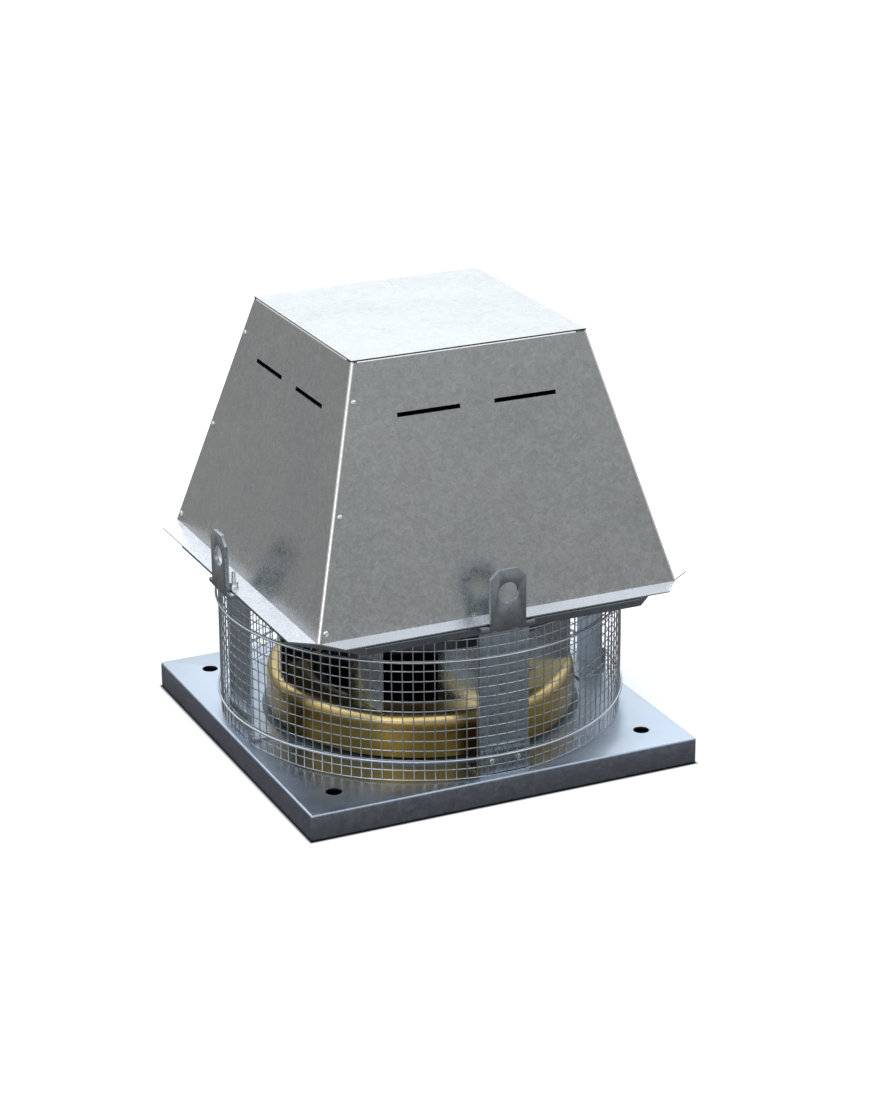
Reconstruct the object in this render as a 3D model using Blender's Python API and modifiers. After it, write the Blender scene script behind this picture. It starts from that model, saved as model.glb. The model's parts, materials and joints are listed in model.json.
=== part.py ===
"""Roof exhaust fan with a square flashing base, a wire guard and a pyramid cowl.

Frame: metres, +Z up, origin at the centre of the underside of the base. The front faces -Y.
The impeller, its hub, the motor shaft and what is fixed to the shaft turn about +Z.
"""

import math

import bmesh
import bpy
from mathutils import Matrix, Vector

TAU = 2.0 * math.pi
LATHE_STEPS = 40
SMALL_STEPS = 24
GAP = 0.0003

# Flashing base
BASE_SIDE = 0.510
BASE_HEIGHT = 0.034
BASE_SHEET = 0.002
BASE_BEND = 0.003
ANCHOR_PITCH = 0.410
ANCHOR_HOLE_D = 0.020
INLET_HOLE_R = 0.152

# Inlet cone
INLET_FLANGE_R = 0.199
INLET_THROAT_R = 0.1235
INLET_TOP_Z = 0.082
INLET_SHEET = 0.0015

# Legs and their foot angles
LEG_WIDTH = 0.065
LEG_FACE = 0.241
LEG_SHEET = 0.0025
LEG_RETURN = 0.030
FOOT_HEIGHT = 0.0375
FOOT_DEPTH = 0.036

# Wire guard
GUARD_R = 0.249
GUARD_Z0 = 0.0365
GUARD_Z1 = 0.2143
GUARD_BAR = 0.0020
GUARD_COLUMNS = 30
GUARD_ROWS = 4
HOOP_BAR_R = 0.0016
HOOP_LOW_Z = 0.0619
HOOP_HIGH_Z = 0.1889

# Motor plate
PLATE_HALF = 0.247
PLATE_STRAIGHT = 0.178
PLATE_TOP = 0.228
PLATE_SHEET = 0.0025
PLATE_RIM_Z = 0.218
PLATE_HOLE_R = 0.024

# Lifting lugs
LUG_WIDTH = 0.046
LUG_THICK = 0.005
LUG_FACE = 0.262
LUG_TOP = 0.3025
LUG_CHAMFER = 0.011
LUG_HOLE_D = 0.026
LUG_HOLE_Z = 0.2734
LUG_FOOT_WIDTH = 0.070
LUG_FOOT_IN = 0.212
LUG_SHIFT = {"front": -0.0075, "right": 0.0, "back": 0.0, "left": 0.0070}

# Cowl
COWL_Z0 = 0.236
COWL_Z1 = 0.5384
COWL_HALF_LOW = 0.2330
COWL_HALF_TOP = 0.1502
COWL_SHEET = 0.0015
COWL_FLANGE = 0.027
COWL_MITRE = 0.021
COWL_EDGE_STEP = 0.0025
COWL_LAP_IN = 0.0019
COWL_LAP = 0.018
SLOT_LENGTH = 0.080
SLOT_HEIGHT = 0.005
SLOT_X = 0.062
SLOT_Z = 0.4735
BRACKET_X = 0.095
BRACKET_WIDTH = 0.040
BRACKET_TOP = 0.262

# Lid
LID_HALF = 0.1506
LID_TOP = 0.5400
LID_SHEET = 0.0013

# Impeller
HUB_Z = 0.1808
BACK_PLATE_R = 0.190
BACK_PLATE_HOLE_R = 0.0262
BACK_PLATE_SHEET = 0.0025
SHROUD_R = 0.1925
SHROUD_TOP = 0.096
SHROUD_LOW = 0.0405
SHROUD_SHEET = 0.0018
EYE_R = 0.132
BLADE_COUNT = 7
BLADE_IN_R = 0.131
BLADE_OUT_R = 0.1875
BLADE_SWEEP = math.radians(28.0)
BLADE_PHASE = math.radians(232.0)
BLADE_BULGE = 0.009
BLADE_SHEET = 0.0018
BLADE_TOP = 0.1777
BLADE_STATIONS = 8

# Motor
SHAFT_R = 0.012
CORE_R = 0.0456
HOUSING_R = 0.084
FIN_R = 0.090
FIN_COUNT = 24
HOUSING_Z0 = 0.2523
HOUSING_Z1 = 0.398
CORE_Z0 = 0.278
CORE_Z1 = 0.372
COVER_R = 0.0925
BOX_X = 0.0943
BOX_Z0 = 0.300
BOX_Z1 = 0.380
GLAND_X = 0.114

SIDES = (("front", 0.0), ("right", 90.0), ("back", 180.0), ("left", 270.0))

# Colour, roughness and metallic value of each finish
FINISHES = {
    "galvanised": ((0.40, 0.42, 0.43), 0.42, 1.0),
    "dark_sheet": ((0.10, 0.12, 0.14), 0.45, 0.8),
    "wire": ((0.62, 0.64, 0.66), 0.32, 1.0),
    "passivated": ((0.42, 0.30, 0.12), 0.38, 1.0),
    "light_sheet": ((0.60, 0.62, 0.64), 0.35, 1.0),
    "cast_aluminium": ((0.45, 0.46, 0.47), 0.55, 1.0),
    "steel": ((0.35, 0.35, 0.36), 0.35, 1.0),
    "laminations": ((0.12, 0.12, 0.13), 0.60, 0.7),
    "black_plastic": ((0.02, 0.02, 0.02), 0.50, 0.0),
}


# ---------------------------------------------------------------- helpers


def start_scene():
    """Clears the startup objects and makes the two collections and the rotor's axis."""
    for obj in list(bpy.data.objects):
        bpy.data.objects.remove(obj, do_unlink=True)
    for old in list(bpy.data.collections):
        bpy.data.collections.remove(old)
    groups = []
    for name in ("roof_exhaust_fan", "cutters"):
        group = bpy.data.collections.new(name)
        bpy.context.scene.collection.children.link(group)
        groups.append(group)
    axis = bpy.data.objects.new("rotor_axis", None)
    axis.empty_display_type = "SINGLE_ARROW"
    axis.location = (0.0, 0.0, HUB_Z)
    groups[0].objects.link(axis)
    return groups[0], groups[1], axis


PARTS, CUTTERS, ROTOR_AXIS = start_scene()


def finish(name):
    """The material of a finish, made once."""
    found = bpy.data.materials.get(name)
    if found is not None:
        return found
    colour, roughness, metallic = FINISHES[name]
    material = bpy.data.materials.new(name)
    material.use_nodes = True
    shader = material.node_tree.nodes["Principled BSDF"]
    shader.inputs["Base Color"].default_value = (*colour, 1.0)
    shader.inputs["Roughness"].default_value = roughness
    shader.inputs["Metallic"].default_value = metallic
    material.diffuse_color = (*colour, 1.0)
    return material


def add_object(name, bm, look, degrees=0.0):
    """Stores a bmesh as a part, turned about the vertical axis."""
    mesh = bpy.data.meshes.new(name)
    bm.to_mesh(mesh)
    bm.free()
    obj = bpy.data.objects.new(name, mesh)
    obj.rotation_euler.z = math.radians(degrees)
    if look == "cutter":
        CUTTERS.objects.link(obj)
        obj.hide_render = True
        obj.display_type = "WIRE"
    else:
        mesh.materials.append(finish(look))
        PARTS.objects.link(obj)
    return obj


def on_rotor(obj):
    """Hangs a part on the rotor's axis; its mesh is in the axis's own coordinates."""
    obj.parent = ROTOR_AXIS
    return obj


def box(bm, low, high):
    """A cube primitive stretched between two corners."""
    low = Vector(low)
    high = Vector(high)
    stretch = Matrix.Diagonal((*(high - low), 1.0))
    bmesh.ops.create_cube(bm, size=1.0, matrix=Matrix.Translation((low + high) / 2.0) @ stretch)


def box_object(name, low, high, look, degrees=0.0):
    bm = bmesh.new()
    box(bm, low, high)
    return add_object(name, bm, look, degrees)


def tapered_box(bm, low, high, x_at, y_at):
    """A cube primitive whose sides follow functions of the height: x_at(side, z), y_at(side, z)."""
    made = bmesh.ops.create_cube(bm, size=2.0)
    for vert in made["verts"]:
        z = low if vert.co.z < 0.0 else high
        vert.co = (x_at(vert.co.x, z), y_at(vert.co.y, z), z)


def bar(name, radius, start, end, look="cutter", steps=SMALL_STEPS, degrees=0.0):
    """A round bar between two points."""
    start = Vector(start)
    end = Vector(end)
    axis = end - start
    aim = Matrix.Translation((start + end) / 2.0) @ axis.to_track_quat("Z", "Y").to_matrix().to_4x4()
    bm = bmesh.new()
    bmesh.ops.create_cone(
        bm,
        cap_ends=True,
        segments=steps,
        radius1=radius,
        radius2=radius,
        depth=axis.length,
        matrix=aim,
    )
    return add_object(name, bm, look, degrees)


def extrude_outline(bm, outline, start, travel):
    """Extrudes a flat outline; start maps (u, v) to a point, travel is the extrusion."""
    face = bm.faces.new([bm.verts.new(start(u, v)) for u, v in outline])
    made = bmesh.ops.extrude_face_region(bm, geom=[face])
    moved = [item for item in made["geom"] if isinstance(item, bmesh.types.BMVert)]
    bmesh.ops.translate(bm, verts=moved, vec=travel)
    bmesh.ops.recalc_face_normals(bm, faces=bm.faces)


def bent_strip(name, section, x0, x1, look, degrees):
    """A bent strip: its section in the YZ plane of the front side, extruded along X."""
    bm = bmesh.new()
    extrude_outline(bm, section, lambda y, z: (x0, y, z), (x1 - x0, 0.0, 0.0))
    return add_object(name, bm, look, degrees)


def smooth(obj, degrees=35.0):
    """Applies the modifiers and shades the faces smooth between the sharper edges."""
    bpy.context.view_layer.update()
    shown = obj.evaluated_get(bpy.context.evaluated_depsgraph_get())
    mesh = bpy.data.meshes.new_from_object(shown)
    obj.modifiers.clear()
    obj.data = mesh
    mesh.name = obj.name
    mesh.shade_smooth()
    mesh.set_sharp_from_angle(angle=math.radians(degrees))
    return obj


def lathe(name, section, look, steps=LATHE_STEPS, on_axis=False, close=True):
    """Revolves a section of (radius, height) pairs about Z with a Screw modifier."""
    area = sum(a[0] * b[1] - b[0] * a[1] for a, b in zip(section, section[1:] + section[:1]))
    points = section if area < 0.0 else list(reversed(section))
    drop = HUB_Z if on_axis else 0.0
    bm = bmesh.new()
    verts = [bm.verts.new((r, 0.0, z - drop)) for r, z in points]
    pairs = list(zip(verts, verts[1:]))
    if close:
        pairs.append((verts[-1], verts[0]))
    for pair in pairs:
        bm.edges.new(pair)
    obj = add_object(name, bm, look)
    revolve(obj, steps)
    smooth(obj)
    return on_rotor(obj) if on_axis else obj


def revolve(obj, steps):
    screw = obj.modifiers.new("Revolve", "SCREW")
    screw.axis = "Z"
    screw.angle = TAU
    screw.steps = steps
    screw.render_steps = steps
    screw.use_merge_vertices = True
    screw.merge_threshold = 0.00001


def boolean(obj, other, operation):
    step = obj.modifiers.new(operation.title() + "_" + other.name, "BOOLEAN")
    step.operation = operation
    step.solver = "EXACT"
    step.object = other


def cut(obj, cutter):
    boolean(obj, cutter, "DIFFERENCE")


def join(obj, other):
    boolean(obj, other, "UNION")


def fold_and_thicken(obj, bend, sheet):
    """Turns an open box of flat faces into a folded sheet-metal pan."""
    folds = obj.modifiers.new("Folds", "BEVEL")
    folds.width = bend
    folds.segments = 2
    folds.limit_method = "ANGLE"
    skin = obj.modifiers.new("Sheet", "SOLIDIFY")
    skin.thickness = sheet
    skin.offset = -1.0
    skin.use_even_offset = True


def open_underneath(bm):
    """Deletes the lowest face of a box."""
    lowest = min(bm.faces, key=lambda face: face.calc_center_median().z)
    bmesh.ops.delete(bm, geom=[lowest], context="FACES_ONLY")


# ---------------------------------------------------------------- base and inlet


def make_base():
    half = BASE_SIDE / 2.0
    bm = bmesh.new()
    box(bm, (-half, -half, 0.0), (half, half, BASE_HEIGHT))
    open_underneath(bm)
    base = add_object("base_plate", bm, "dark_sheet")
    fold_and_thicken(base, BASE_BEND, BASE_SHEET)
    low = BASE_HEIGHT - 0.02
    high = BASE_HEIGHT + 0.02
    cut(base, bar("inlet_cut", INLET_HOLE_R, (0, 0, low), (0, 0, high), steps=48))
    reach = ANCHOR_PITCH / 2.0
    for index, (sx, sy) in enumerate(((-1, -1), (1, -1), (1, 1), (-1, 1))):
        x = sx * reach
        y = sy * reach
        cut(base, bar("anchor_cut_%d" % (index + 1), ANCHOR_HOLE_D / 2.0, (x, y, low), (x, y, high)))


def make_inlet_cone():
    """The spun cone, and the flat ring that holds its lip on the base."""
    z = BASE_HEIGHT + GAP
    t = INLET_SHEET
    r = INLET_THROAT_R
    top = INLET_TOP_Z
    inner = [(0.1560, z), (0.1480, z + 0.003), (0.1380, z + 0.0125), (0.1300, z + 0.0245)]
    inner += [(r + 0.0015, z + 0.036), (r, top)]
    outer = [(r + t, top), (r + 0.0030, z + 0.0366), (0.1315, z + 0.0256)]
    outer += [(0.1392, z + 0.0138), (0.1488, z + 0.0046), (0.1562, z + t)]
    lathe("inlet_cone", inner + outer, "light_sheet")
    near = 0.1562 + GAP
    ring = [(near, z), (INLET_FLANGE_R, z), (INLET_FLANGE_R, z + t), (near, z + t)]
    lathe("inlet_flange", ring, "light_sheet")


# ---------------------------------------------------------------- legs and guard


def make_leg(side, degrees):
    half = LEG_WIDTH / 2.0
    y = -LEG_FACE
    t = LEG_SHEET
    low = BASE_HEIGHT + GAP + LEG_SHEET + GAP
    top = PLATE_TOP - PLATE_SHEET - GAP
    section = [(y, low), (y + t, low), (y + t, top - t - 0.001), (y + t + 0.001, top - t)]
    section += [(y + LEG_RETURN, top - t), (y + LEG_RETURN, top), (y + 0.002, top), (y, top - 0.002)]
    bent_strip("leg_" + side, section, -half, half, "galvanised", degrees)


def make_foot_angle(side, degrees):
    half = LEG_WIDTH / 2.0
    t = LEG_SHEET
    z = BASE_HEIGHT + GAP
    inner = -LEG_FACE - GAP
    outer = inner - t
    section = [(outer + 0.002, z), (outer + FOOT_DEPTH, z), (outer + FOOT_DEPTH, z + t)]
    section += [(inner + 0.0001, z + t), (inner, z + t + 0.0001), (inner, z + FOOT_HEIGHT)]
    section += [(outer, z + FOOT_HEIGHT), (outer, z + 0.002)]
    bent_strip("foot_angle_" + side, section, -half, half, "light_sheet", degrees)


def make_guard():
    """An open lattice cylinder, one welded body."""
    bm = bmesh.new()
    step = (GUARD_Z1 - GUARD_Z0) / GUARD_ROWS
    heights = [GUARD_Z0 + step * row for row in range(GUARD_ROWS + 1)]
    verts = [bm.verts.new((GUARD_R, 0.0, z)) for z in heights]
    for pair in zip(verts, verts[1:]):
        bm.edges.new(pair)
    guard = add_object("guard_mesh", bm, "wire")
    revolve(guard, GUARD_COLUMNS)
    wires = guard.modifiers.new("Wires", "WIREFRAME")
    wires.thickness = GUARD_BAR
    wires.use_boundary = True
    wires.use_replace = True
    wires.use_even_offset = True
    wires.offset = 0.0


def make_hoop(name, z):
    """A round-bar hoop outside the mesh."""
    radius = GUARD_R / math.cos(math.pi / LATHE_STEPS) + GUARD_BAR / 2.0 + HOOP_BAR_R + GAP
    angles = [TAU * k / 6 for k in range(6)]
    section = [(radius + HOOP_BAR_R * math.cos(a), z + HOOP_BAR_R * math.sin(a)) for a in angles]
    lathe(name, section, "wire")


# ---------------------------------------------------------------- motor plate, lugs and cowl


def make_motor_plate():
    """A square pan with cut corners, its edge turned down."""
    h = PLATE_HALF
    s = PLATE_STRAIGHT
    outline = [(-s, -h), (s, -h), (h, -s), (h, s), (s, h), (-s, h), (-h, s), (-h, -s)]
    rise = PLATE_TOP - PLATE_RIM_Z
    bm = bmesh.new()
    extrude_outline(bm, outline, lambda x, y: (x, y, PLATE_RIM_Z), (0.0, 0.0, rise))
    open_underneath(bm)
    plate = add_object("motor_plate", bm, "dark_sheet")
    fold_and_thicken(plate, 0.002, PLATE_SHEET)
    low = PLATE_TOP - 0.02
    high = PLATE_TOP + 0.02
    cut(plate, bar("shaft_cut", PLATE_HOLE_R, (0, 0, low), (0, 0, high), steps=32))


def make_lug(side, degrees):
    mid = LUG_SHIFT[side]
    half = LUG_WIDTH / 2.0
    low = PLATE_TOP + GAP
    c = LUG_CHAMFER
    face = -LUG_FACE - LUG_THICK
    outline = [(-half, low), (half, low), (half, LUG_TOP - c), (half - c, LUG_TOP)]
    outline += [(-half + c, LUG_TOP), (-half, LUG_TOP - c)]
    bm = bmesh.new()
    extrude_outline(bm, outline, lambda x, z: (mid + x, face, z), (0.0, LUG_THICK, 0.0))
    lug = add_object("lifting_lug_" + side, bm, "galvanised", degrees)
    wide = LUG_FOOT_WIDTH / 2.0
    near = (mid - wide, face + 0.0005, low)
    far = (mid + wide, -LUG_FOOT_IN, low + LUG_THICK)
    join(lug, box_object("lug_foot_" + side, near, far, "cutter", degrees))
    start = (mid, face - 0.02, LUG_HOLE_Z)
    end = (mid, face + 0.02, LUG_HOLE_Z)
    cut(lug, bar("lug_hole_" + side, LUG_HOLE_D / 2.0, start, end, degrees=degrees))


def cowl_half(z):
    """Half the outer width of the cowl at a height."""
    share = (z - COWL_Z0) / (COWL_Z1 - COWL_Z0)
    return COWL_HALF_LOW + (COWL_HALF_TOP - COWL_HALF_LOW) * share


def panel_x(side, z):
    """The panel's side edges: it stops short of the left corner and laps the right one."""
    half = cowl_half(z)
    return half - COWL_LAP_IN - 0.0002 if side > 0.0 else COWL_EDGE_STEP - half


def panel_y(side, z):
    return -cowl_half(z) + (COWL_SHEET if side > 0.0 else 0.0)


def lap_x(side, z):
    return cowl_half(z) - COWL_LAP_IN - (0.0 if side > 0.0 else COWL_SHEET)


def lap_y(side, z):
    return -cowl_half(z) + (COWL_LAP if side > 0.0 else 0.0004)


def flange_outline():
    inner = -COWL_HALF_LOW + 0.0010
    outer = -COWL_HALF_LOW - COWL_FLANGE
    left = -COWL_HALF_LOW + COWL_EDGE_STEP
    right = COWL_HALF_LOW - COWL_LAP_IN - 0.0004
    return [(left, inner), (left + COWL_MITRE, outer), (right - COWL_MITRE, outer), (right, inner)]


def make_cowl_panel(side, degrees):
    """One sloping side: its skin, the drip flange along its foot and the seam lap behind its neighbour."""
    low = COWL_Z0 - COWL_SHEET
    bm = bmesh.new()
    tapered_box(bm, low + 0.0003, COWL_Z1, panel_x, panel_y)
    panel = add_object("cowl_panel_" + side, bm, "galvanised", degrees)
    bm = bmesh.new()
    extrude_outline(bm, flange_outline(), lambda x, y: (x, y, low), (0.0, 0.0, COWL_SHEET))
    join(panel, add_object("drip_flange_" + side, bm, "cutter", degrees))
    bm = bmesh.new()
    tapered_box(bm, COWL_Z0 + 0.0008, COWL_Z1 - 0.0008, lap_x, lap_y)
    join(panel, add_object("seam_lap_" + side, bm, "cutter", degrees))
    bm = bmesh.new()
    y = -cowl_half(SLOT_Z)
    for sign in (-1, 1):
        near = (sign * SLOT_X - SLOT_LENGTH / 2.0, y - 0.010, SLOT_Z - SLOT_HEIGHT / 2.0)
        far = (sign * SLOT_X + SLOT_LENGTH / 2.0, y + 0.012, SLOT_Z + SLOT_HEIGHT / 2.0)
        box(bm, near, far)
    cut(panel, add_object("vent_slots_" + side, bm, "cutter", degrees))


def make_cowl_bracket(side, degrees):
    """An angle on the motor plate whose sloping leg holds the panel from inside."""
    z0 = PLATE_TOP + GAP
    z1 = BRACKET_TOP
    t = 0.002

    def face(z):
        return -cowl_half(z) + COWL_SHEET + 0.0005

    section = [(face(z0 + t), z0), (-0.200, z0), (-0.200, z0 + t), (face(z0 + t) + t, z0 + t)]
    section += [(face(z1) + t, z1), (face(z1), z1), (face(z0 + t), z0 + t)]
    x0 = BRACKET_X - BRACKET_WIDTH / 2.0
    bent_strip("cowl_bracket_" + side, section, x0, x0 + BRACKET_WIDTH, "galvanised", degrees)


def make_lid():
    """A flat square sheet on the top edges of the four panels."""
    low = (-LID_HALF, -LID_HALF, LID_TOP - LID_SHEET)
    box_object("cowl_lid", low, (LID_HALF, LID_HALF, LID_TOP), "light_sheet")


# ---------------------------------------------------------------- impeller


def shroud_top(r):
    """Height of the shroud's upper surface at a radius, from the eye to the flat ring."""
    share = min(1.0, max(0.0, (0.158 - r) / (0.158 - EYE_R)))
    return SHROUD_TOP - 0.014 * share * share


def make_shroud():
    """The spun shroud with its eye, and the skirt whose shoulder carries its edge down."""
    t = SHROUD_SHEET
    r = SHROUD_R
    top = SHROUD_TOP
    radii = (0.158, 0.150, 0.142, 0.136, EYE_R)
    upper = [(r - 0.0075, top - 0.0021), (r - 0.013, top)]
    upper += [(q, shroud_top(q)) for q in radii]
    lower = [(EYE_R + 0.0012, shroud_top(EYE_R) - t)]
    lower += [(q, shroud_top(q) - t * 1.1) for q in (0.138, 0.143, 0.150, 0.158)]
    lower += [(r - 0.0135, top - t), (r - 0.0082, top - 0.0038)]
    lathe("impeller_shroud", upper + lower, "passivated", on_axis=True)
    skirt = [(r, SHROUD_LOW), (r, top - 0.017), (r - 0.0015, top - 0.009), (r - 0.0072, top - 0.0023)]
    skirt += [(r - 0.0079, top - 0.0040), (r - 0.0032, top - 0.0096), (r - t, top - 0.017), (r - t, SHROUD_LOW)]
    lathe("impeller_skirt", skirt, "passivated", on_axis=True)


def blade_line():
    """Points along the first blade, a shallow arc from its inner end to its outer end."""
    start = BLADE_PHASE - BLADE_SWEEP
    a = Vector((BLADE_IN_R * math.cos(start), BLADE_IN_R * math.sin(start)))
    b = Vector((BLADE_OUT_R * math.cos(BLADE_PHASE), BLADE_OUT_R * math.sin(BLADE_PHASE)))
    chord = b - a
    out = Vector((chord.y, -chord.x)).normalized()
    if out.dot(a + b) < 0.0:
        out = -out
    shares = [k / BLADE_STATIONS for k in range(BLADE_STATIONS + 1)]
    return [a + chord * s + out * (BLADE_BULGE * 4.0 * s * (1.0 - s)) for s in shares]


def blade_foot(point):
    """The blade's lower edge clears the shroud on both of its faces."""
    reach = [point.length + s * BLADE_SHEET / 2.0 for s in (-1.0, 1.0)]
    return max(shroud_top(r) for r in reach) + 0.0004 - HUB_Z


def make_blades():
    """One curved ribbon, thickened; the seven blades share its mesh and differ in their turn."""
    bm = bmesh.new()
    points = blade_line()
    feet = [bm.verts.new((p.x, p.y, blade_foot(p))) for p in points]
    edges = [bm.edges.new(pair) for pair in zip(feet, feet[1:])]
    made = bmesh.ops.extrude_edge_only(bm, edges=edges)
    for item in made["geom"]:
        if isinstance(item, bmesh.types.BMVert):
            item.co.z = BLADE_TOP - HUB_Z
    first = on_rotor(add_object("impeller_blade_1", bm, "galvanised"))
    blades = [first]
    for index in range(1, BLADE_COUNT):
        blade = bpy.data.objects.new("impeller_blade_%d" % (index + 1), first.data)
        blade.rotation_euler.z = TAU * index / BLADE_COUNT
        PARTS.objects.link(blade)
        blades.append(on_rotor(blade))
    for blade in blades:
        sheet = blade.modifiers.new("Sheet", "SOLIDIFY")
        sheet.thickness = BLADE_SHEET
        sheet.offset = 0.0
        sheet.use_even_offset = True


def make_back_plate():
    low = BLADE_TOP + GAP
    t = BACK_PLATE_SHEET
    r = BACK_PLATE_R
    section = [(BACK_PLATE_HOLE_R, low), (r - 0.002, low), (r, low + 0.002), (r, low + 0.010)]
    section += [(r - 0.0018, low + 0.010), (r - 0.0018, low + t + 0.001), (r - 0.003, low + t)]
    section += [(BACK_PLATE_HOLE_R, low + t)]
    lathe("impeller_back_plate", section, "galvanised", on_axis=True)


def make_hub():
    flange = BLADE_TOP + GAP + BACK_PLATE_SHEET + GAP
    bore = SHAFT_R + GAP
    spigot = BACK_PLATE_HOLE_R - GAP
    section = [(bore, 0.170), (spigot, 0.170), (spigot, flange), (0.046, flange)]
    section += [(0.046, flange + 0.006), (0.029, flange + 0.006), (0.026, flange + 0.009)]
    section += [(0.026, 0.215), (bore, 0.215)]
    lathe("impeller_hub", section, "cast_aluminium", SMALL_STEPS, on_axis=True)
    washer = [(0.0056, 0.1667), (0.020, 0.1667), (0.020, 0.1697), (0.0056, 0.1697)]
    lathe("hub_washer", washer, "steel", SMALL_STEPS, on_axis=True)
    head = [(0.0, 0.1600), (0.0095, 0.1600), (0.0098, 0.1603), (0.0098, 0.1664)]
    head += [(0.0046, 0.1664), (0.0046, 0.1900), (0.0, 0.1900)]
    lathe("hub_bolt", head, "steel", 6, on_axis=True, close=False)


# ---------------------------------------------------------------- motor


def make_shaft():
    r = SHAFT_R
    section = [(0.0052, 0.172), (r - 0.001, 0.172), (r, 0.173), (r, 0.2575), (0.0148, 0.2575)]
    section += [(0.0148, 0.3920), (r, 0.3920), (r, 0.4465), (r - 0.001, 0.4475), (0.0, 0.4475)]
    section += [(0.0, 0.195), (0.0052, 0.195)]
    lathe("motor_shaft", section, "steel", SMALL_STEPS, on_axis=True)
    core = [(0.0151, CORE_Z0), (CORE_R, CORE_Z0), (CORE_R, CORE_Z1), (0.0151, CORE_Z1)]
    lathe("motor_rotor_core", core, "laminations", SMALL_STEPS, on_axis=True)


def make_stator():
    """The finned housing, with the flat pad for the terminal box, and the core inside it."""
    outline = []
    for k in range(FIN_COUNT):
        mid = TAU * k / FIN_COUNT
        for r, offset in ((HOUSING_R, -0.055), (FIN_R, -0.035), (FIN_R, 0.035), (HOUSING_R, 0.055)):
            outline.append((r * math.cos(mid + offset), r * math.sin(mid + offset)))
    bm = bmesh.new()
    height = HOUSING_Z1 - HOUSING_Z0
    extrude_outline(bm, outline, lambda x, y: (x, y, HOUSING_Z0), (0.0, 0.0, height))
    housing = add_object("motor_housing", bm, "cast_aluminium")
    pad = box_object("box_pad", (0.075, -0.036, BOX_Z0), (0.094, 0.036, BOX_Z1), "cutter")
    join(housing, pad)
    low = (0, 0, HOUSING_Z0 - 0.02)
    high = (0, 0, HOUSING_Z1 + 0.02)
    cut(housing, bar("stator_bore", 0.0705, low, high, steps=32))
    inner = CORE_R + 0.0006
    core = [(inner, CORE_Z0), (0.0698, CORE_Z0), (0.0698, CORE_Z1), (inner, CORE_Z1)]
    lathe("motor_stator_core", core, "laminations", 32)


def make_shields():
    z = PLATE_TOP + GAP
    r = HOUSING_R
    drive = [(0.016, z), (0.100, z), (0.100, z + 0.010), (r, z + 0.0125), (r, 0.252)]
    drive += [(0.070, 0.252), (0.070, 0.246), (0.034, 0.246), (0.034, 0.2555), (0.026, 0.2555)]
    drive += [(0.026, 0.2395), (0.016, 0.2395)]
    lathe("motor_drive_shield", drive, "cast_aluminium", 32)
    rear = [(0.0240, 0.394), (0.034, 0.394), (0.034, 0.3983), (r, 0.3983), (r, 0.404)]
    rear += [(0.034, 0.4105), (0.014, 0.4105), (0.014, 0.4078), (0.0240, 0.4078)]
    lathe("motor_rear_shield", rear, "cast_aluminium", 32)
    bore = SHAFT_R + GAP
    low = [(bore, 0.2400), (0.0257, 0.2400), (0.0257, 0.2550), (bore, 0.2550)]
    lathe("bearing_drive_end", low, "steel", SMALL_STEPS)
    high = [(bore, 0.3945), (0.0236, 0.3945), (0.0236, 0.4073), (bore, 0.4073)]
    lathe("bearing_rear_end", high, "steel", SMALL_STEPS)


def spokes(count, phase, near, far, half, low, high):
    """Flat radial bars, made from turned cubes."""
    bm = bmesh.new()
    for k in range(count):
        spin = Matrix.Rotation(TAU * (k + phase) / count, 4, "Z")
        middle = Matrix.Translation(((near + far) / 2.0, 0.0, (low + high) / 2.0))
        stretch = Matrix.Diagonal((far - near, half * 2.0, high - low, 1.0))
        bmesh.ops.create_cube(bm, size=1.0, matrix=spin @ middle @ stretch)
    return bm


def make_cooling_fan():
    low = 0.4150
    bore = SHAFT_R + GAP
    section = [(bore, low), (0.074, low), (0.074, low + 0.003), (0.020, low + 0.003)]
    section += [(0.020, 0.4420), (bore, 0.4420)]
    fan = lathe("motor_cooling_fan", section, "black_plastic", SMALL_STEPS, on_axis=True)
    vanes = spokes(6, 0.0, 0.018, 0.071, 0.0013, low + 0.001 - HUB_Z, 0.4400 - HUB_Z)
    join(fan, on_rotor(add_object("cooling_vanes", vanes, "cutter")))


def make_fan_cover():
    r = COVER_R
    t = 0.0015
    section = [(0.0, 0.4605), (r - 0.006, 0.4605), (r, 0.4560), (r, 0.4000), (r - t, 0.4000)]
    section += [(r - t, 0.4552), (r - 0.0066, 0.4590), (0.0, 0.4590)]
    cover = lathe("motor_fan_cover", section, "dark_sheet", 32, close=False)
    slots = spokes(8, 0.5, 0.020, 0.068, 0.0035, 0.4540, 0.4660)
    cut(cover, add_object("cover_slots", slots, "cutter"))


def make_terminal_box():
    wall = 0.003
    end = 0.1330
    body = box_object("terminal_box", (BOX_X, -0.040, BOX_Z0), (end, 0.040, BOX_Z1), "black_plastic")
    near = (BOX_X + wall, -0.040 + wall, BOX_Z0 + wall)
    far = (end + 0.02, 0.040 - wall, BOX_Z1 - wall)
    cut(body, box_object("box_hollow", near, far, "cutter"))
    cut(body, bar("gland_hole", 0.0103, (GLAND_X, 0, BOX_Z0 - 0.01), (GLAND_X, 0, BOX_Z0 + 0.01)))
    near = (end + GAP, -0.042, BOX_Z0 - 0.002)
    far = (end + 0.004, 0.042, BOX_Z1 + 0.002)
    box_object("terminal_box_lid", near, far, "black_plastic")
    z = BOX_Z0
    section = [(0.0050, z - 0.024), (0.0085, z - 0.024), (0.0105, z - 0.020), (0.0135, z - 0.019)]
    section += [(0.0135, z - GAP), (0.0100, z - GAP), (0.0100, z + 0.006), (0.0050, z + 0.006)]
    gland = lathe("cable_gland", section, "black_plastic", 12)
    gland.location.x = GLAND_X


# ---------------------------------------------------------------- the whole object


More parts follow.
